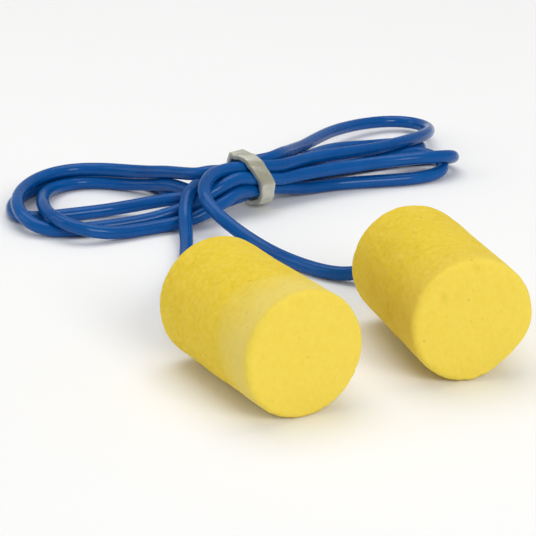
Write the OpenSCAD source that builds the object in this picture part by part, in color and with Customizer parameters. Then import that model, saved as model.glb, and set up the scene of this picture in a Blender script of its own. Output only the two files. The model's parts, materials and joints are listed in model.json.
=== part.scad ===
// Corded foam ear plugs, in millimetres.
// Two round foam plugs hang on the ends of one thin cord. The slack of the cord
// is folded into a hank, and an elastic band ties the hank round its middle.
// The plugs and the hank lie on the plane z = 0, and the origin is the point of
// that plane midway between the plugs.

/* [Foam plugs] */
// Diameter of a plug
plug_d = 13.5; // [13:0.1:14]
// Length of a plug
plug_l = 20; // [19:0.5:21]
// Radius of the rounded edge at each end of a plug
plug_edge = 1.2; // [0.6:0.1:2]

/* [Cord ends] */
// Diameter of the cord
cord_d = 1.7; // [1.5:0.1:1.8]
// Depth of the blind hole that holds the cord's end
hole_depth = 6; // [4:0.5:9]
// Thickness of the glue round the cord and below its end
glue_t = 0.3; // [0.2:0.1:0.5]

/* [Tie band] */
// Width of the band along the bundle
band_w = 2.2; // [2:0.1:2.6]
// Thickness of the band
band_t = 0.8; // [0.6:0.05:0.8]
// Gap between the band and the bundle
band_gap = 0.15; // [0.1:0.01:0.15]

/* [Hank] */
// Height of the loops where they lie on the table
loop_h = 4; // [3.2:0.1:4.8]
// Half length of the straight bundle that the band slides on
bundle_half = 3.4; // [3.4:0.1:3.8]

/* [Hidden] */

foam_colour = [0.93, 0.80, 0.32];
glue_colour = [0.90, 0.89, 0.82];
cord_colour = [0.08, 0.33, 0.62];
band_colour = [0.78, 0.77, 0.66];

// Where each plug's centre stands, and the way that its free end points
left_centre = [-9.1, -4.7, plug_d / 2];
left_turn = -60;
right_centre = [10.4, 5.1, plug_d / 2];
right_turn = -73;

// Seven cords round an eighth make the bundle
bundle_count = 7;
bundle_ring = cord_d / 2 / sin(180 / bundle_count) + 0.01;
bundle_r = bundle_ring + cord_d / 2;
bundle_centre = [-10.3, 52.5, 3.95];
bundle_turn = 40;
bundle_overlap = 0.8;

// Circles [x, y, radius] that the outline of the loops on each side wraps round
left_loops = [[-15.4, 48.3, 3.2], [-28, 60, 3.5], [-37.5, 57.5, 5], [-37.5, 45, 5], [-29.5, 40, 3.5]];
right_loops = [[-5.4, 56.6, 3], [1.5, 77.5, 3.6], [10.8, 83.4, 5.3], [13.2, 68.4, 6]];

// The cord's way from the left plug to the bundle
left_route = [
    [-15.6, 6.6, 6.7], [-16.9, 9.6, 6], [-17.8, 13.8, 4.2], [-18.2, 18.6, 2.4], [-18.2, 24, 1.2],
    [-17.9, 29.5, 0.9], [-17.9, 34.5, 1], [-18.1, 38.2, 1.5], [-18.4, 41, 2.2], [-18.5, 43.4, 3.2],
    [-18.1, 45.7, 4.1], [-17.4, 48, 4.2], [-16.3, 49.8, 4], [-13.9, 51.9, 3.6]
];
// The cord's way from the bundle to the right plug
right_route = [
    [-12.6, 50.6, 5.9], [-14.8, 48.2, 6.2], [-15.8, 45.4, 6.1], [-16.2, 42.5, 5.6], [-15.7, 39.9, 4.9],
    [-14.3, 38.1, 3.9], [-12.1, 36.5, 2.6], [-9.7, 34.7, 1.5], [-7.2, 32.2, 0.9], [-4.8, 29.2, 0.9],
    [-2, 26.4, 0.9], [1.2, 24.6, 0.9], [4, 23.9, 1.8], [5.6, 22.4, 3.8], [6.1, 20, 5.7], [6.6, 17.5, 6.7]
];
cord_sides = 8;
edge_fn = 48;
outline_fn = 32;

// The way that a plug's axis points, from the end with the cord to the free end
function heading(turn) = [cos(turn), sin(turn), 0];

// The point on a plug's axis that lies this deep inside the end with the cord
function plug_point(centre, turn, depth) = centre + (depth - plug_l / 2) * heading(turn);

function unit(v) = v / norm(v);
function along(path, i) = unit(path[min(i + 1, len(path) - 1)] - path[max(i - 1, 0)]);
function ring(centre, dir) =
    let (across = unit(cross(dir, [0, 0, 1])), lift = cross(across, dir))
    [for (k = [0 : cord_sides - 1])
        let (a = 360 * k / cord_sides)
        centre + cord_d / 2 * (cos(a) * across + sin(a) * lift)];

// A closed tube with one ring of corners at each point of the path
module tube(path) {
    last = len(path) - 1;
    corners = [for (i = [0 : last]) each ring(path[i], along(path, i))];
    walls = [for (i = [0 : last - 1], k = [0 : cord_sides - 1])
        let (a = i * cord_sides + k, b = i * cord_sides + (k + 1) % cord_sides)
        each [[a, b, b + cord_sides], [a, b + cord_sides, a + cord_sides]]];
    start_cap = [[for (k = [cord_sides - 1 : -1 : 0]) k]];
    end_cap = [[for (k = [0 : cord_sides - 1]) last * cord_sides + k]];
    polyhedron(corners, concat(walls, start_cap, end_cap));
}

// Stands a shape drawn along Z on a plug's axis, with z = 0 at the plug's centre
module on_plug(centre, turn) {
    translate(centre) rotate([0, 0, turn]) rotate([0, 90, 0]) children();
}

// Stands a shape drawn along Z on the bundle's axis, with z = 0 at its middle
module on_bundle() {
    translate(bundle_centre) rotate([0, 0, bundle_turn]) rotate([0, 90, 0]) children();
}

module plug_section() {
    r = plug_d / 2;
    translate([0, -plug_l / 2]) square([r - plug_edge, plug_l]);
    translate([0, plug_edge - plug_l / 2]) square([r, plug_l - 2 * plug_edge]);
    for (end = [-1, 1])
        translate([r - plug_edge, end * (plug_l / 2 - plug_edge)]) circle(plug_edge, $fn = edge_fn);
}

module foam_plug() {
    difference() {
        rotate_extrude($fn = edge_fn) plug_section();
        translate([0, 0, -plug_l / 2 - 1])
            cylinder(r = cord_d / 2 + glue_t, h = hole_depth + 1, $fn = edge_fn);
    }
}

// A cup of glue that fills the plug's hole round the cord
module glue_bond() {
    translate([0, 0, -plug_l / 2])
        difference() {
            cylinder(r = cord_d / 2 + glue_t, h = hole_depth, $fn = edge_fn);
            translate([0, 0, -1])
                cylinder(r = cord_d / 2, h = hole_depth + 1 - glue_t, $fn = edge_fn);
        }
}

module foam_plug_left() {
    color(foam_colour) on_plug(left_centre, left_turn) foam_plug();
}

module foam_plug_right() {
    color(foam_colour) on_plug(right_centre, right_turn) foam_plug();
}

module glue_bond_left() {
    color(glue_colour) on_plug(left_centre, left_turn) glue_bond();
}

module glue_bond_right() {
    color(glue_colour) on_plug(right_centre, right_turn) glue_bond();
}

module cord_lead_left() {
    inside = plug_point(left_centre, left_turn, hole_depth - glue_t);
    mouth = plug_point(left_centre, left_turn, 0);
    color(cord_colour) tube(concat([inside, mouth], left_route));
}

module cord_lead_right() {
    inside = plug_point(right_centre, right_turn, hole_depth - glue_t);
    mouth = plug_point(right_centre, right_turn, 0);
    color(cord_colour) tube(concat(right_route, [mouth, inside]));
}

// The outer shape of the loops on one side of the band
module loops(circles) {
    linear_extrude(height = loop_h)
        hull()
            for (c = circles)
                translate([c.x, c.y]) circle(c.z, $fn = outline_fn);
}

module cord_hank() {
    color(cord_colour) {
        on_bundle()
            cylinder(r = bundle_r, h = 2 * (bundle_half + bundle_overlap), center = true, $fn = edge_fn);
        loops(left_loops);
        loops(right_loops);
    }
}

module tie_band() {
    inner_r = bundle_r + band_gap;
    color(band_colour)
        on_bundle()
            difference() {
                cylinder(r = inner_r + band_t, h = band_w, center = true, $fn = edge_fn);
                cylinder(r = inner_r, h = band_w + 2, center = true, $fn = edge_fn);
            }
}

foam_plug_left();
foam_plug_right();
glue_bond_left();
glue_bond_right();
cord_lead_left();
cord_lead_right();
cord_hank();
tie_band();
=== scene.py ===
"""Corded foam ear plugs: two foam cylinders on the ends of one thin vinyl cord, whose slack is
folded into a hank and held by a small elastic band. Lengths are in millimetres, and times MM they
are in metres, which Blender's objects, materials and lamps are in."""
import json
import math

import bpy
import numpy as np
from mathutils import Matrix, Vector, kdtree, noise


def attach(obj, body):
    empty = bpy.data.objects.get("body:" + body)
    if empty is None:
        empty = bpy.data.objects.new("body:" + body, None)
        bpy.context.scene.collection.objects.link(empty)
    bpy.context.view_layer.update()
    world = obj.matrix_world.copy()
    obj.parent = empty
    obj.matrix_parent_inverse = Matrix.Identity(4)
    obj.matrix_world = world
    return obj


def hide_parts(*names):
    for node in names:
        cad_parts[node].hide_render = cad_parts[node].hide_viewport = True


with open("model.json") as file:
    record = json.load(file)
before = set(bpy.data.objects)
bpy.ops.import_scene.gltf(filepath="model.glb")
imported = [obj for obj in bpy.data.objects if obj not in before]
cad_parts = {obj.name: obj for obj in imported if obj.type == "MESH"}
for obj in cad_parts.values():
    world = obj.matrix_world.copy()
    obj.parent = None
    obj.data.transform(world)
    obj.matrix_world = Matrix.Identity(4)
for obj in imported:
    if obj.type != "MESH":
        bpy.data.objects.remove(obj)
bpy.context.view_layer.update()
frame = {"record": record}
scene = bpy.context.scene

MM = 0.001
PLUGS = "corded_plugs"
BAND = "sliding_band"

CORD_D = 1.7
GLUE_T = 0.3
HOLE_DEPTH = 6.0
HOLE_R = CORD_D / 2 + GLUE_T
PLUG_D = 13.5
PLUG_L = 20.0

# The straight middle of the hank, inside the band: seven runs of cord round an eighth, a hair
# looser than touching, and turned by this many degrees from x
BUNDLE_CENTRE = np.array([-10.3, 52.5, 3.95])
BUNDLE_TURN = 40.0
BUNDLE_HALF = 4
BUNDLE_COUNT = 7
# Degrees per millimetre: from end to end each run moves round to the next one's place
BUNDLE_TWIST = 360 / BUNDLE_COUNT / (2 * BUNDLE_HALF)
BUNDLE_RING = CORD_D / 2 / math.sin(math.pi / BUNDLE_COUNT) + 0.04


# ---------------------------------------------------------------- camera

def add_camera():
    """A long lens, a little above the table, that sees what the photograph shows."""
    cam = bpy.data.objects.new("camera", bpy.data.cameras.new("camera"))
    scene.collection.objects.link(cam)
    down = math.radians(20.5)
    aim = Vector((-7.97, 29.7, 0.0)) * MM
    away = 241.8 * MM
    cam.location = aim + Vector((0.0, -math.cos(down), math.sin(down))) * away
    cam.rotation_euler = (math.pi / 2 - down, 0.0, 0.0)
    cam.data.lens = 135
    cam.data.sensor_width = 36
    cam.data.clip_start = 0.005
    cam.data.clip_end = 20
    scene.camera = cam


add_camera()


# ---------------------------------------------------------------- the cord's way

# All of it as (x, y, z), laid one by one. From the left plug to the bundle
LEAD_LEFT = [
    (-15.6, 6.6, 6.7), (-16.9, 9.6, 6.0), (-17.8, 13.8, 4.2), (-18.2, 18.6, 2.4), (-18.2, 24.0, 1.2),
    (-17.9, 29.5, 0.9), (-17.9, 34.5, 1.0), (-18.1, 38.2, 1.5), (-18.4, 41.0, 2.2), (-18.5, 43.4, 3.2),
    (-18.1, 45.7, 4.1), (-17.5, 47.8, 4.0), (-16.4, 49.6, 3.6),
]
# The four loops on the right, from the first that the cord makes to the last
RIGHT_LOOPS = [
    [
        (-6.6, 58.2, 4.1), (-4.9, 61.2, 3.4), (-3.0, 64.9, 2.8), (-1.3, 68.5, 2.4), (0.6, 71.7, 2.0),
        (3.0, 74.4, 1.5), (5.8, 76.3, 1.0), (8.8, 77.6, 0.9), (11.5, 78.2, 0.9), (13.5, 77.1, 0.9),
        (14.1, 75.1, 1.2), (12.7, 72.9, 1.6), (10.2, 71.5, 1.9), (7.2, 70.5, 2.2), (4.2, 68.8, 2.4),
        (1.3, 66.5, 2.6), (-1.4, 63.8, 2.9), (-3.4, 61.0, 3.4), (-5.2, 58.3, 3.8),
    ],
    [
        (-6.0, 56.6, 1.8), (-4.2, 58.8, 1.9), (-1.2, 61.4, 2.2), (2.0, 63.2, 2.4), (5.0, 64.6, 2.5),
        (7.6, 66.0, 2.5), (9.8, 67.2, 2.5), (11.9, 68.4, 2.5), (14.3, 69.0, 2.2), (16.1, 67.6, 1.8),
        (16.2, 65.4, 1.3), (14.9, 63.4, 1.0), (12.8, 62.2, 0.9), (10.0, 61.3, 0.9), (7.0, 60.7, 0.9),
        (4.0, 60.2, 0.9), (1.0, 59.4, 0.9), (-1.8, 58.1, 0.9), (-4.0, 56.3, 1.3),
    ],
    [
        (-6.8, 58.0, 2.5), (-5.2, 60.4, 1.6), (-2.8, 62.9, 0.9), (0.6, 65.2, 0.9), (4.0, 67.2, 0.9),
        (7.4, 68.9, 0.9), (10.6, 70.3, 0.9), (13.4, 71.1, 0.9), (15.8, 71.4, 0.9), (17.2, 70.4, 1.1),
        (17.7, 68.3, 1.9), (17.4, 66.1, 2.8), (15.9, 64.2, 3.3), (13.3, 63.1, 3.5), (9.6, 62.1, 3.4),
        (6.0, 60.8, 3.4), (2.6, 59.2, 3.4), (-0.6, 57.4, 3.5), (-3.6, 55.4, 3.6),
    ],
    [
        (-6.5, 57.6, 5.6), (-5.3, 60.7, 4.8), (-3.9, 65.0, 4.1), (-2.3, 70.3, 3.4), (-0.5, 75.3, 2.8),
        (1.2, 79.6, 2.3), (4.2, 84.0, 1.8), (7.8, 87.0, 1.5), (11.3, 87.8, 1.4), (14.0, 86.5, 1.4),
        (15.2, 83.4, 1.7), (15.2, 79.9, 2.3), (14.6, 76.2, 2.9), (13.2, 72.5, 3.5), (11.0, 69.0, 4.0),
        (8.2, 65.6, 4.2), (5.0, 63.2, 4.4), (1.8, 61.4, 4.6), (-1.0, 59.7, 4.7), (-3.4, 57.6, 4.9),
    ],
]
# The three loops on the left
LEFT_LOOPS = [
    [
        (-15.4, 48.4, 3.4), (-17.7, 47.9, 2.9), (-20.2, 48.2, 2.6), (-22.8, 48.6, 2.0), (-25.8, 48.9, 1.3),
        (-29.0, 48.4, 0.9), (-32.4, 47.2, 0.9), (-35.6, 46.0, 0.9), (-38.0, 45.2, 0.9), (-39.9, 45.9, 0.9),
        (-41.0, 48.0, 0.9), (-41.3, 50.8, 0.9), (-40.6, 53.8, 0.9), (-39.3, 57.2, 0.9), (-37.0, 60.4, 0.9),
        (-34.0, 62.4, 0.9), (-30.4, 62.9, 0.9), (-27.0, 62.2, 0.9), (-24.2, 60.4, 0.9), (-22.2, 58.0, 0.9),
        (-20.7, 55.4, 0.9), (-19.5, 52.8, 0.9), (-18.3, 50.4, 0.9), (-16.8, 48.7, 1.1), (-14.7, 48.2, 1.6),
    ],
    [
        (-13.3, 46.7, 2.8), (-15.3, 45.1, 1.9), (-17.9, 43.8, 1.1), (-21.0, 42.6, 0.9), (-24.2, 40.8, 0.9),
        (-27.4, 39.0, 1.0), (-30.4, 38.0, 1.8), (-33.2, 38.8, 2.5), (-35.1, 41.0, 2.6), (-36.4, 44.2, 2.6),
        (-37.0, 48.2, 2.3), (-37.3, 52.4, 1.8), (-36.9, 56.4, 1.2), (-35.2, 59.2, 0.9), (-32.4, 60.4, 0.9),
        (-29.6, 60.1, 0.9), (-27.0, 59.0, 1.0), (-24.4, 57.6, 1.4), (-22.0, 55.7, 2.1), (-19.8, 53.3, 2.7),
        (-17.7, 50.8, 2.6), (-15.9, 49.9, 2.1),
    ],
    [
        (-14.0, 47.0, 4.6), (-16.5, 46.0, 3.2), (-19.3, 45.5, 1.9), (-22.2, 44.8, 1.1), (-25.2, 43.6, 0.9),
        (-28.2, 42.3, 0.9), (-31.0, 41.2, 0.9), (-33.8, 40.5, 0.9), (-36.5, 40.5, 1.1), (-38.6, 41.8, 1.9),
        (-39.9, 44.8, 2.6), (-40.3, 48.6, 2.6), (-40.0, 52.6, 2.6), (-38.6, 56.6, 2.6), (-36.3, 59.6, 2.6),
        (-33.2, 60.9, 2.6), (-29.8, 60.2, 2.8), (-26.8, 58.5, 3.1), (-24.2, 56.9, 3.4), (-22.0, 55.6, 3.8),
        (-20.3, 54.2, 4.2), (-18.8, 52.5, 4.6), (-17.3, 51.1, 4.9), (-15.8, 50.5, 5.1),
    ],
]
# From the bundle to the right plug
LEAD_RIGHT = [
    (-14.8, 48.2, 6.2), (-15.8, 45.4, 6.1), (-16.2, 42.5, 5.6), (-15.7, 39.9, 4.9), (-14.3, 38.1, 3.9),
    (-12.1, 36.5, 2.6), (-9.7, 34.7, 1.5), (-7.2, 32.2, 0.9), (-4.8, 29.2, 0.9), (-2.0, 26.4, 0.9),
    (1.2, 24.6, 0.9), (4.0, 23.9, 1.8), (5.6, 22.4, 3.8), (6.1, 20.0, 5.7), (6.6, 17.5, 6.7),
]
# The place of each run in the bundle: 0 is the top one, then round it, and 7 is the middle
RUNS_TO_THE_RIGHT = [5, 3, 4, 6]
RUNS_TO_THE_LEFT = [7, 2, 1, 0]


def unit(v):
    v = np.asarray(v, float)
    return v / np.linalg.norm(v)


def heading(turn):
    a = math.radians(turn)
    return np.array([math.cos(a), math.sin(a), 0.0])


ALONG = heading(BUNDLE_TURN)
ACROSS = heading(BUNDLE_TURN - 90)
UP = np.array([0.0, 0.0, 1.0])


def place_in_bundle(k, s):
    """Where run k lies round the bundle's axis at s along it, as (across, up)."""
    if k == BUNDLE_COUNT:
        return 0.0, 0.0
    a = math.radians(90 - 360 * k / BUNDLE_COUNT - BUNDLE_TWIST * (s + BUNDLE_HALF))
    return BUNDLE_RING * math.cos(a), BUNDLE_RING * math.sin(a)


def bundle_run(k, way):
    """Points of run k through the bundle: to the right where way is 1, to the left where it is -1."""
    points = []
    for s in range(-BUNDLE_HALF, BUNDLE_HALF + 1, 2):
        q, z = place_in_bundle(k, s * way)
        points.append(BUNDLE_CENTRE + ACROSS * q + UP * z + ALONG * s * way)
    return points


def b_spline(control, steps=12):
    """A uniform cubic B-spline that starts and ends at the first and last control points."""
    p = np.array(control, float)
    p = np.vstack([2 * p[0] - p[1], p, 2 * p[-1] - p[-2]])
    t = np.arange(steps)[:, None] / steps
    weights = ((1 - t) ** 3, 3 * t ** 3 - 6 * t ** 2 + 4, -3 * t ** 3 + 3 * t ** 2 + 3 * t + 1, t ** 3)
    parts = [sum(w * p[i + k] for k, w in enumerate(weights)) / 6 for i in range(len(p) - 3)]
    return np.vstack(parts + [(p[-3] + 4 * p[-2] + p[-1]) / 6])


def evenly(points, step):
    """The same line with its points one step apart."""
    far = np.concatenate([[0], np.cumsum(np.linalg.norm(np.diff(points, axis=0), axis=1))])
    at = np.linspace(0, far[-1], int(round(far[-1] / step)) + 1)
    return np.stack([np.interp(at, far, points[:, k]) for k in range(3)], axis=1)


class Plug:
    """Where a plug lies: its axis points from the end with the cord to the free end."""

    def __init__(self, side):
        mount = next(m for m in frame["record"]["mounts"] if m["name"] == f"plug_{side}_body")
        self.side = side
        self.centre = np.array(mount["pos_m"], float) / MM
        self.axis = unit(mount["axis"])
        self.level = unit(np.cross(UP, self.axis))

    def point(self, depth):
        """The point on the axis at this depth from the end with the cord."""
        return self.centre + (depth - PLUG_L / 2) * self.axis

    def spoke(self, a):
        """The direction away from the axis at angle a, from level round to up."""
        return math.cos(a) * self.level + math.sin(a) * UP


left_plug, right_plug = Plug("left"), Plug("right")


def cord_control():
    """The whole way of the cord, from inside the left plug to inside the right one."""
    depths = (HOLE_DEPTH - GLUE_T, HOLE_DEPTH / 2, 0)
    way = [left_plug.point(d) for d in depths] + LEAD_LEFT
    for i, (out, back) in enumerate(zip(RUNS_TO_THE_RIGHT, RUNS_TO_THE_LEFT)):
        way += bundle_run(out, 1) + RIGHT_LOOPS[i] + bundle_run(back, -1)
        if i < len(LEFT_LOOPS):
            way += LEFT_LOOPS[i]
    return way + LEAD_RIGHT + [right_plug.point(d) for d in reversed(depths)]


def settle(line, step):
    """The cord at rest: its length kept, its folds no sharper than vinyl allows, its strands pressed
    apart where they meet and nothing below the table, as near as can be to the way it was laid."""
    turns = 260
    # Folds sharper than this radius open, as seen over this many points each way
    fold, reach = 3.4, 3
    # Shares of each error that one turn takes away
    to_the_way, unfold, smooth, press = 0.03, 0.3, 0.08, 0.5
    apart = CORD_D + 0.02
    lowest = CORD_D / 2 + 0.03
    # How much further two strands may be and still be looked at, and how often that is updated
    margin, every = 1.5, 20
    most_sag = (reach * step) ** 2 / (2 * fold)
    laid = line.copy()
    p = line.copy()
    n = len(p)
    off = p - BUNDLE_CENTRE
    axial = off @ ALONG
    beside = np.linalg.norm(off - np.outer(axial, ALONG), axis=1)
    # The bundle's runs are held by the band, and the ends by the plugs
    held = (np.abs(axial) < BUNDLE_HALF - 0.1) & (beside < BUNDLE_RING + 0.4)
    in_plug = int(9 / step)
    held[:in_plug] = held[-in_plug:] = True
    free = (~held).astype(float)[:, None]
    # Points less than 4.5 mm from each other along the cord never count as two strands
    first, second = np.triu_indices(n, int(4.5 / step))
    for turn in range(turns):
        p += to_the_way * (laid - p) * free
        # Sharp folds open
        sag = (p[:-2 * reach] + p[2 * reach:]) / 2 - p[reach:-reach]
        size = np.linalg.norm(sag, axis=1)[:, None]
        too_much = sag * np.maximum(0, 1 - most_sag / np.maximum(size, 1e-9)) * unfold
        move = np.zeros_like(p)
        move[reach:-reach] += too_much
        move[:-2 * reach] -= too_much / 2
        move[2 * reach:] -= too_much / 2
        p += move * free
        p[1:-1] += smooth * ((p[:-2] + p[2:]) / 2 - p[1:-1]) * free[1:-1]
        if turn % every == 0:
            close = np.linalg.norm(p[first] - p[second], axis=1) < apart + margin
            near = first[close], second[close]
        # Strands press each other apart
        for _ in range(2):
            gap = p[near[0]] - p[near[1]]
            far = np.maximum(np.linalg.norm(gap, axis=1), 1e-6)[:, None]
            share = free[near[0]] + free[near[1]]
            push = gap / far * np.maximum(0, apart - far) / np.maximum(share, 1) * press
            move = np.zeros_like(p)
            np.add.at(move, near[0], push)
            np.add.at(move, near[1], -push)
            p += move * free
        # Neighbouring points come back to one step from each other
        for odd in (0, 1):
            a, b = np.arange(odd, n - 1, 2), np.arange(odd + 1, n, 2)
            gap = p[b] - p[a]
            far = np.linalg.norm(gap, axis=1)[:, None]
            share = np.maximum(free[a] + free[b], 1e-6)
            fix = gap / far * (far - step) / share
            p[a] += fix * free[a]
            p[b] -= fix * free[b]
        p[:, 2] = np.maximum(p[:, 2], lowest)
    return p


# ---------------------------------------------------------------- mesh helpers

def add_mesh(name, verts, faces, uvs=None):
    """A smooth mesh object from millimetres, with a lengthwise UV map where uvs are given."""
    mesh = bpy.data.meshes.new(name)
    mesh.from_pydata([tuple(v) for v in np.asarray(verts) * MM], [], faces)
    mesh.polygons.foreach_set("use_smooth", [True] * len(mesh.polygons))
    if uvs is not None:
        layer = mesh.uv_layers.new(name="lengthwise")
        layer.data.foreach_set("uv", np.asarray(uvs, np.float32).ravel())
    mesh.update()
    obj = bpy.data.objects.new(name, mesh)
    scene.collection.objects.link(obj)
    return obj


def ring_grid_faces(rings, sides, closed_rings=False):
    """Quads between neighbouring rings of vertices, and from the last to the first where closed."""
    faces = []
    for i in range(rings if closed_rings else rings - 1):
        a, b = i * sides, (i + 1) % rings * sides
        for k in range(sides):
            n = (k + 1) % sides
            faces.append((a + k, a + n, b + n, b + k))
    return faces


def unevenness(p, size, seed):
    """Smooth noise from -1 to 1 with lumps of about this size."""
    return noise.noise(Vector(p) / size + Vector((seed, 3.7 * seed, -1.3 * seed)))


# ---------------------------------------------------------------- cord

def add_cord():
    """One closed tube along the settled way, and the points of its centreline."""
    coarse, step = 0.8, 0.4
    laid = evenly(b_spline(cord_control()), coarse)
    line = evenly(b_spline(settle(laid, coarse), 4), step)
    tangent = np.gradient(line, axis=0)
    tangent /= np.linalg.norm(tangent, axis=1)[:, None]
    sides = 20
    side = unit(np.cross(UP, tangent[0]))
    verts = []
    for i, (p, t) in enumerate(zip(line, tangent)):
        side = unit(side - t * (side @ t))
        other = np.cross(t, side)
        swell = 1 + 0.012 * noise.noise(Vector((i * 0.04, 1.7, 0.0)))
        for k in range(sides):
            a = 2 * math.pi * k / sides
            verts.append(p + CORD_D / 2 * swell * (math.cos(a) * side + math.sin(a) * other))
    rings = len(line)
    faces = ring_grid_faces(rings, sides)
    uvs = []
    for i in range(rings - 1):
        for k in range(sides):
            uvs += [(k / sides, i * step), ((k + 1) / sides, i * step),
                    ((k + 1) / sides, i * step + step), (k / sides, i * step + step)]
    faces.append(tuple(range(sides - 1, -1, -1)))
    faces.append(tuple(range((rings - 1) * sides, rings * sides)))
    uvs += [(0.0, 0.0)] * (2 * sides)
    cord = add_mesh("cord", verts, faces, uvs)
    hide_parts("cord_lead_left", "cord_lead_right", "cord_hank")
    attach(cord, PLUGS)
    return cord, np.vstack([line[::3], line[-1:]])


cord, cord_path = add_cord()


# ---------------------------------------------------------------- foam plugs

def arc(cx, cy, r, a0, a1, n):
    """Points on an arc of radius r, from angle a0 to a1 in degrees."""
    return [(cx + r * math.cos(math.radians(a)), cy + r * math.sin(math.radians(a)))
            for a in np.linspace(a0, a1, n)]


def plug_profile():
    """The plug's half section as (radius, depth), from the hole's floor round to the free end."""
    r, lip = PLUG_D / 2, 0.45
    # Radii of the two rims
    back, front = 1.5, 0.75
    points = [(0.02, HOLE_DEPTH), (HOLE_R * 0.6, HOLE_DEPTH), (HOLE_R, HOLE_DEPTH - 0.1)]
    points += [(HOLE_R, 3.0), (HOLE_R, 0.9)]
    points += arc(HOLE_R + lip, 0.62, lip, 180, 270, 6)
    points += [(2.4, 0.06), (3.4, 0.0)]
    points += arc(r - back, back, back, -90, 0, 12)
    points += arc(r - front, PLUG_L - front, front, 0, 90, 12)
    points += [(3.4, PLUG_L + 0.1), (1.5, PLUG_L + 0.15), (0.02, PLUG_L + 0.16)]
    return points


def add_plug(plug, seed, dents):
    """One foam plug: a turned section, a little out of round, uneven, pitted and dented."""
    section = evenly(np.array([(r, d, 0.0) for r, d in plug_profile()]), 0.17)
    sides = 236
    pits = 2600
    floor_gap = 0.02
    # What lies within this radius near the end with the cord is the hole and its mouth
    mouth_r = 1.7
    rng = np.random.RandomState(seed)
    base, normal = [], []
    slope = np.gradient(section, axis=0)
    for (r, depth, _), (dr, dd, _) in zip(section, slope):
        n_r, n_d = unit((dd, -dr))
        for k in range(sides):
            a = 2 * math.pi * k / sides
            spoke = plug.spoke(a)
            out = 1 + 0.0035 * math.cos(2 * a + seed) + 0.0025 * math.cos(3 * a - 2 * seed)
            r_here = r * out if r > 3 else r
            base.append(plug.point(depth) + r_here * spoke)
            normal.append(n_r * spoke + n_d * plug.axis)
    base, normal = np.array(base), np.array(normal)
    in_hole = np.repeat((section[:, 0] < mouth_r) & (section[:, 1] < HOLE_DEPTH + 1), sides)

    push = np.array([
        0.085 * unevenness(p, 5.2, seed) + 0.04 * unevenness(p, 1.9, seed + 5)
        + 0.016 * unevenness(p, 0.6, seed + 9)
        for p in base
    ])
    tree = kdtree.KDTree(len(base))
    for i, p in enumerate(base):
        tree.insert(p, i)
    tree.balance()
    # Open pores: many small pits, a few of them wide, and fewer in a row the nearer it is to the axis
    for row in rng.randint(0, len(section), pits):
        if rng.rand() > section[row, 0] / (PLUG_D / 2):
            continue
        at = base[row * sides + rng.randint(sides)]
        wide = 0.16 + 0.2 * rng.rand() ** 3
        deep = 0.035 + 0.05 * rng.rand() ** 2
        for _, i, far in tree.find_range(at, wide * 1.9):
            push[i] -= deep * math.exp(-(far / wide) ** 2)
    # Knocks from handling, each (angle, radius, depth along the plug, width, how deep)
    for angle, r, depth, wide, deep in dents:
        at = plug.point(depth) + r * plug.spoke(math.radians(angle))
        for _, i, far in tree.find_range(at, wide * 2):
            push[i] -= deep * math.exp(-(far / wide) ** 2)
    push[in_hole] *= 0.3
    verts = base + normal * push[:, None]
    verts[:, 2] = np.maximum(verts[:, 2], floor_gap)

    rings = len(section)
    faces = ring_grid_faces(rings, sides)
    faces.append(tuple(range(sides)))
    faces.append(tuple(range(rings * sides - 1, (rings - 1) * sides - 1, -1)))
    obj = add_mesh(f"plug_foam_{plug.side}", verts, [f[::-1] for f in faces])
    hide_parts(f"foam_plug_{plug.side}")
    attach(obj, PLUGS)
    return obj


def add_glue(plug, seed):
    """The glue that holds the cord, with an uneven fillet that climbs the cord at the mouth."""
    r = CORD_D / 2
    profile = [
        (0.02, HOLE_DEPTH - 0.04), (HOLE_R - 0.04, HOLE_DEPTH - 0.04), (HOLE_R - 0.02, 3.0),
        (HOLE_R - 0.02, 0.8), (HOLE_R + 0.16, 0.36), (HOLE_R + 0.3, 0.16), (HOLE_R + 0.22, 0.06),
        (HOLE_R, -0.02), (r + 0.15, -0.22), (r + 0.05, -0.5), (r - 0.02, -0.62),
    ]
    section = evenly(np.array([(a, b, 0.0) for a, b in profile]), 0.12)
    sides = 40
    verts = []
    for radius, depth, _ in section:
        for k in range(sides):
            a = 2 * math.pi * k / sides
            creep = 0.16 * noise.noise(Vector((2 * math.cos(a), 2 * math.sin(a), seed)))
            out = max(0.0, min(1.0, (0.5 - depth) / 0.4))
            r_here = radius + (creep * out if radius > r + 0.06 else 0)
            climb = 0.6 * creep * out if depth < -0.1 else 0
            verts.append(plug.point(depth - climb) + r_here * plug.spoke(a))
    rings = len(section)
    faces = ring_grid_faces(rings, sides) + [tuple(range(sides))]
    obj = add_mesh(f"plug_glue_{plug.side}", verts, [f[::-1] for f in faces])
    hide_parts(f"glue_bond_{plug.side}")
    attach(obj, PLUGS)
    return obj


left_dents = [(35, 4.6, 0.3, 0.9, 0.12), (-60, 6.7, 7.0, 1.6, 0.07), (70, 6.75, 12.5, 1.8, 0.08)]
right_dents = [(140, 4.8, 20.0, 0.5, 0.42), (92, 6.0, 19.8, 0.5, 0.36), (54, 6.0, 19.7, 0.55, 0.3),
               (140, 6.7, 9.0, 1.5, 0.08), (-50, 6.75, 18.6, 3.6, 0.65)]
foam_left = add_plug(left_plug, 3, left_dents)
foam_right = add_plug(right_plug, 8, right_dents)
glue_left = add_glue(left_plug, 1.5)
glue_right = add_glue(right_plug, 4.5)


# ---------------------------------------------------------------- band

def bundle_hull(a, s):
    """The radius in direction a of the shape that a tight belt would take round the runs at s."""
    runs = [place_in_bundle(k, s) for k in range(BUNDLE_COUNT)]
    belt = []
    for turn in range(-50, 51, 5):
        b = a + math.radians(turn)
        reach = max(q * math.cos(b) + z * math.sin(b) for q, z in runs) + CORD_D / 2
        belt.append(reach / math.cos(a - b))
    return min(belt)


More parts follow.
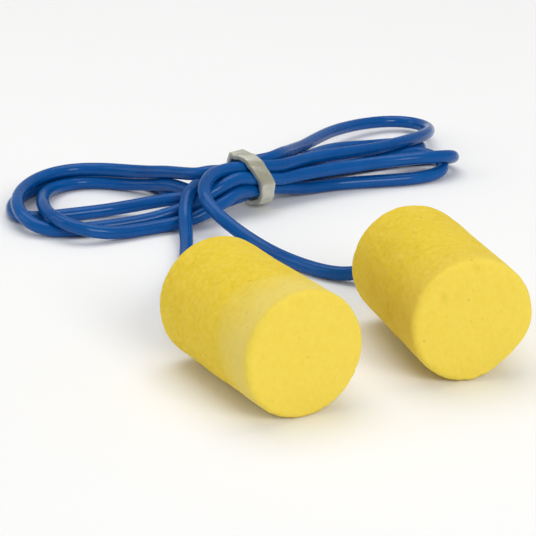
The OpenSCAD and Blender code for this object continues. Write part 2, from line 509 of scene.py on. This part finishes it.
def band_section(width, thick, edge):
    """The band's rounded oblong section as (along the bundle, away from it), from its inner face round."""
    half = width / 2
    bend = [(edge * math.sin(b), edge * math.cos(b)) for b in (0.5, 1.05)]
    loop = [(s, 0.0) for s in np.linspace(-half + edge, half - edge, 7)]
    loop += [(half - edge + x, edge - y) for x, y in bend]
    loop += [(half, edge), (half, thick / 2), (half, thick - edge)]
    loop += [(half - edge + x, thick - edge + y) for x, y in bend[::-1]]
    loop += [(s, thick) for s in np.linspace(half - edge, -half + edge, 7)]
    loop += [(-half + edge - x, thick - edge + y) for x, y in bend]
    loop += [(-half, thick - edge), (-half, thick / 2), (-half, edge)]
    return loop + [(-half + edge - x, edge - y) for x, y in bend[::-1]]


def add_band():
    """A flat band stretched over the bundle: straight between the outer runs, with soft corners."""
    thick, around = 0.66, 210
    loop = band_section(2.2, thick, 0.13)
    # It leans back, by this much along the bundle from its middle to its top
    lean = math.tan(math.radians(17)) * 3.1
    # Corners of the band, as (degrees round the axis, how far they stand out), and their width
    corners = [(118, 0.34), (196, 0.1), (258, 0.12), (306, 0.2), (2, 0.16), (55, 0.0)]
    corner_width = 7.0
    clearance = 0.07
    # Places along the bundle where it is measured, and how many of them the slide passes each way
    stations, slide = np.linspace(-4.5, 4.5, 19), 3
    verts = []
    for k in range(around):
        a = 2 * math.pi * k / around
        # Wide enough for the bundle's twist all the way along the slide
        tight = [bundle_hull(a, s) for s in stations]
        hulls = [max(tight[max(0, i - slide):i + slide + 1]) for i in range(len(tight))]
        spoke = ACROSS * math.cos(a) + UP * math.sin(a)
        stand = sum(
            h * math.exp(-((math.degrees(a) - c + 180) % 360 - 180) ** 2 / (2 * corner_width ** 2))
            for c, h in corners
        )
        round_it = Vector((1.6 * math.cos(a), 1.6 * math.sin(a), 0.0))
        drift = 0.12 * noise.noise(round_it + Vector((0, 0, 4.2)))
        thin = 1 + 0.1 * noise.noise(round_it + Vector((0, 0, 9.1)))
        spread = 1 + 0.07 * noise.noise(round_it * 1.4 + Vector((0, 0, 13.3)))
        for s, h in loop:
            along = s * spread + drift - lean * math.sin(a)
            # The inner wall keeps close to the runs; the corners stand out on the outside most
            inner = np.interp(along, stations, hulls) + clearance + 0.35 * stand
            r = inner + h * thin + 0.65 * stand * h / thick
            p = BUNDLE_CENTRE + ALONG * along + r * spoke
            verts.append(p + 0.012 * unevenness(p, 0.5, 2.0) * spoke)
    faces = ring_grid_faces(around, len(loop), closed_rings=True)
    obj = add_mesh("band", verts, faces)
    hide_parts("tie_band")
    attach(obj, BAND)
    return obj


band = add_band()

tuple(left_plug.point(0) * MM)


# ---------------------------------------------------------------- materials

class Nodes:
    """A material's nodes, laid out from left to right as they are made."""

    def __init__(self, name):
        self.mat = bpy.data.materials.new(name)
        self.mat.use_nodes = True
        self.tree = self.mat.node_tree
        self.shader = self.tree.nodes["Principled BSDF"]
        self.column = -1400

    def add(self, kind, links=None, values=None, **settings):
        node = self.tree.nodes.new(kind)
        node.location = (self.column, 0)
        self.column += 160
        for key, value in settings.items():
            setattr(node, key, value)
        for key, value in (values or {}).items():
            node.inputs[key].default_value = value
        for key, socket in (links or {}).items():
            self.tree.links.new(socket, node.inputs[key])
        return node

    def noise(self, where, scale, detail=3.0, rough=0.55):
        values = {"Scale": scale, "Detail": detail, "Roughness": rough}
        return self.add("ShaderNodeTexNoise", {"Vector": where}, values).outputs["Fac"]

    def cells(self, where, scale):
        n = self.add("ShaderNodeTexVoronoi", {"Vector": where}, {"Scale": scale, "Randomness": 1.0})
        return n.outputs["Distance"]

    def remap(self, value, low, high, to_low, to_high):
        n = self.add("ShaderNodeMapRange", {"Value": value},
                     {"From Min": low, "From Max": high, "To Min": to_low, "To Max": to_high})
        return n.outputs["Result"]

    def math(self, operation, a, b):
        n = self.add("ShaderNodeMath", operation=operation)
        for i, value in enumerate((a, b)):
            if isinstance(value, (int, float)):
                n.inputs[i].default_value = value
            else:
                self.tree.links.new(value, n.inputs[i])
        return n.outputs[0]

    def mix(self, share, a, b):
        n = self.add("ShaderNodeMix", data_type="RGBA", blend_type="MIX")
        for name, value in (("Factor", share), ("A", a), ("B", b)):
            socket = next(s for s in n.inputs if s.name == name and s.enabled)
            if isinstance(value, tuple):
                socket.default_value = (*value, 1.0)
            else:
                self.tree.links.new(value, socket)
        return next(s for s in n.outputs if s.enabled)

    def bump(self, height, strength, distance, before=None):
        links = {"Height": height}
        if before is not None:
            links["Normal"] = before
        values = {"Strength": strength, "Distance": distance}
        return self.add("ShaderNodeBump", links, values).outputs["Normal"]

    def finish(self, links, **values):
        for key, value in values.items():
            self.shader.inputs[key.replace("_", " ")].default_value = value
        for key, socket in links.items():
            self.tree.links.new(socket, self.shader.inputs[key])
        self.shader.location = (self.column, 0)
        self.tree.nodes["Material Output"].location = (self.column + 300, 0)
        return self.mat


def foam_material(name, plug, painted_highlight_share):
    """Matte yellow foam with open pores and dark specks, painted paler behind the free end's rim and on
    its face: painted highlights for the soft light that falls there.
    """
    n = Nodes(name)
    where = n.add("ShaderNodeTexCoord").outputs["Object"]
    blotch = n.remap(n.noise(where, 420, 4, 0.65), 0.38, 0.64, 0, 1)
    colour = n.mix(blotch, (0.79, 0.57, 0.033), (0.755, 0.53, 0.022))
    grain = n.remap(n.noise(where, 1700, 2), 0.35, 0.7, 0, 0.45)
    colour = n.mix(grain, colour, (0.86, 0.68, 0.12))
    # How far along the plug this point is, in metres from its centre
    spot = n.add("ShaderNodeVectorMath", {0: where}, operation="SUBTRACT")
    spot.inputs[1].default_value = tuple(plug.centre * MM)
    far = n.add("ShaderNodeVectorMath", {0: spot.outputs[0]}, operation="DOT_PRODUCT")
    far.inputs[1].default_value = tuple(plug.axis)
    # Painted highlight: a paler stretch on the barrel behind the free end's rim stands in for the soft
    # light that falls there, with its strength given per plug
    wander = n.remap(n.noise(where, 160, 2), 0, 1, -0.0025, 0.0025)
    place = n.math("ADD", far.outputs["Value"], wander)
    highlight_rise = n.remap(place, 0.0030, 0.0078, 0, 1)
    highlight_fall = n.remap(far.outputs["Value"], 0.0089, 0.0096, 1, 0)
    colour = n.mix(n.math("MULTIPLY", n.math("MULTIPLY", highlight_rise, highlight_fall), painted_highlight_share), colour, (0.80, 0.66, 0.21))
    # The face of the free end is painted a little paler: a painted highlight for the light that falls on
    # it from the front
    colour = n.mix(n.remap(far.outputs["Value"], 0.0088, 0.0096, 0, 0.6), colour, (0.87, 0.69, 0.115))
    specks = n.remap(n.cells(where, 720), 0.06, 0.13, 1, 0)
    some = n.remap(n.noise(where, 420, 1), 0.5, 0.56, 0, 0.55)
    colour = n.mix(n.math("MULTIPLY", specks, some), colour, (0.45, 0.29, 0.05))
    pores = n.cells(where, 2600)
    pore_depth = n.remap(pores, 0.12, 0.5, 0, 1)
    normal = n.bump(pore_depth, 0.32, 0.00006)
    normal = n.bump(n.noise(where, 5200, 2, 0.6), 0.25, 0.00005, normal)
    rough = n.remap(grain, 0, 0.45, 0.82, 0.95)
    return n.finish(
        {"Base Color": colour, "Normal": normal, "Roughness": rough},
        IOR=1.4,
        Specular_IOR_Level=0.15,
        Subsurface_Weight=0.22,
        Subsurface_Radius=(1.0, 0.7, 0.25),
        Subsurface_Scale=0.0012,
        Sheen_Weight=0.05,
        Sheen_Roughness=0.6,
        Sheen_Tint=(1.0, 0.95, 0.7, 1.0),
    )


def cord_material():
    """Glossy blue vinyl with fine lengthwise drawing marks and faint scuffs."""
    n = Nodes("blue_vinyl")
    where = n.add("ShaderNodeTexCoord").outputs["Object"]
    lengthwise = n.add("ShaderNodeUVMap", uv_map="lengthwise").outputs["UV"]
    stretched = n.add("ShaderNodeMapping", {"Vector": lengthwise}, {"Scale": (9.0, 0.12, 1.0)})
    lines = n.noise(stretched.outputs["Vector"], 1.6, 3)
    cloud = n.remap(n.noise(where, 140, 2), 0.35, 0.65, 0, 1)
    colour = n.mix(cloud, (0.0, 0.066, 0.265), (0.001, 0.086, 0.325))
    colour = n.mix(n.remap(lines, 0.45, 0.75, 0, 0.35), colour, (0.004, 0.115, 0.385))
    scuffs = n.remap(n.noise(where, 900, 3, 0.7), 0.5, 0.75, 0, 1)
    rough = n.math("ADD", n.remap(lines, 0.3, 0.7, 0.2, 0.3), n.math("MULTIPLY", scuffs, 0.12))
    normal = n.bump(lines, 0.12, 0.00003)
    normal = n.bump(n.noise(where, 1400, 2), 0.05, 0.00002, normal)
    return n.finish(
        {"Base Color": colour, "Normal": normal, "Roughness": rough},
        IOR=1.52,
        Specular_IOR_Level=0.06,
        Coat_Weight=0.3,
        Coat_Roughness=0.1,
    )


def band_material():
    """Milky elastic band, a little see-through, with a cut face and fine cloudiness."""
    n = Nodes("milky_elastic")
    where = n.add("ShaderNodeTexCoord").outputs["Object"]
    cloud = n.remap(n.noise(where, 420, 3), 0.35, 0.7, 0, 1)
    colour = n.mix(cloud, (0.46, 0.45, 0.33), (0.37, 0.365, 0.26))
    colour = n.mix(n.remap(n.noise(where, 2400, 2), 0.5, 0.8, 0, 0.35), colour, (0.55, 0.53, 0.42))
    rough = n.remap(n.noise(where, 1500, 3), 0.3, 0.7, 0.34, 0.55)
    normal = n.bump(n.noise(where, 1800, 3), 0.3, 0.00006)
    return n.finish(
        {"Base Color": colour, "Normal": normal, "Roughness": rough},
        IOR=1.42,
        Subsurface_Weight=0.5,
        Subsurface_Radius=(1.0, 0.95, 0.8),
        Subsurface_Scale=0.0009,
        Transmission_Weight=0.35,
    )


def glue_material():
    """Cured clear glue with a faint amber tint."""
    n = Nodes("cured_glue")
    where = n.add("ShaderNodeTexCoord").outputs["Object"]
    cloud = n.remap(n.noise(where, 900, 2), 0.35, 0.7, 0, 1)
    colour = n.mix(cloud, (0.78, 0.74, 0.58), (0.70, 0.63, 0.42))
    rough = n.remap(n.noise(where, 1600, 2), 0.3, 0.7, 0.12, 0.3)
    normal = n.bump(n.noise(where, 1100, 2), 0.25, 0.00008)
    return n.finish(
        {"Base Color": colour, "Normal": normal, "Roughness": rough},
        IOR=1.47,
        Subsurface_Weight=0.3,
        Subsurface_Scale=0.0006,
        Transmission_Weight=0.35,
    )


# The left plug gets much more of the painted highlight than the right one
foam_left.data.materials.append(foam_material("yellow_foam_left", left_plug, 0.55))
foam_right.data.materials.append(foam_material("yellow_foam_right", right_plug, 0.12))
cord.data.materials.append(cord_material())
band.data.materials.append(band_material())
glue = glue_material()
for piece in (glue_left, glue_right):
    piece.data.materials.append(glue)


# ---------------------------------------------------------------- studio

def add_floor():
    """A wide pale table top, which is stage and no part of the object."""
    n = Nodes("pale_floor")
    where = n.add("ShaderNodeTexCoord").outputs["Object"]
    colour = n.mix(n.noise(where, 30, 2), (0.93, 0.93, 0.925), (0.95, 0.95, 0.945))
    mat = n.finish({"Base Color": colour}, Roughness=0.8, Specular_IOR_Level=0.1)
    half = 2500.0
    corners = [(-half, -half, 0), (half, -half, 0), (half, half, 0), (-half, half, 0)]
    floor = add_mesh("floor", corners, [(0, 1, 2, 3)])
    floor.data.materials.append(mat)


def add_softbox(name, place, aim, size, watts):
    lamp = bpy.data.lights.new(name, "AREA")
    lamp.shape = "RECTANGLE"
    lamp.size, lamp.size_y = size
    lamp.energy = watts
    obj = bpy.data.objects.new(name, lamp)
    obj.location = place
    obj.rotation_euler = (Vector(aim) - Vector(place)).to_track_quat("-Z", "Y").to_euler()
    scene.collection.objects.link(obj)


def add_studio():
    """Three large soft lamps in an even white room."""
    add_floor()
    middle = (-0.008, 0.03, 0.0)
    add_softbox("top_softbox", (-0.05, 0.2, 0.62), middle, (0.6, 0.5), 1.9)
    add_softbox("front_softbox", (0.3, -0.55, 0.4), middle, (0.4, 0.3), 2.6)
    add_softbox("left_softbox", (-0.6, 0.0, 0.3), middle, (0.4, 0.4), 0.6)
    world = bpy.data.worlds.new("studio")
    world.use_nodes = True
    world.node_tree.nodes["Background"].inputs["Color"].default_value = (1.0, 1.0, 1.0, 1.0)
    world.node_tree.nodes["Background"].inputs["Strength"].default_value = 0.4
    scene.world = world
    scene.view_settings.view_transform = "Standard"
    scene.view_settings.look = "None"


add_studio()
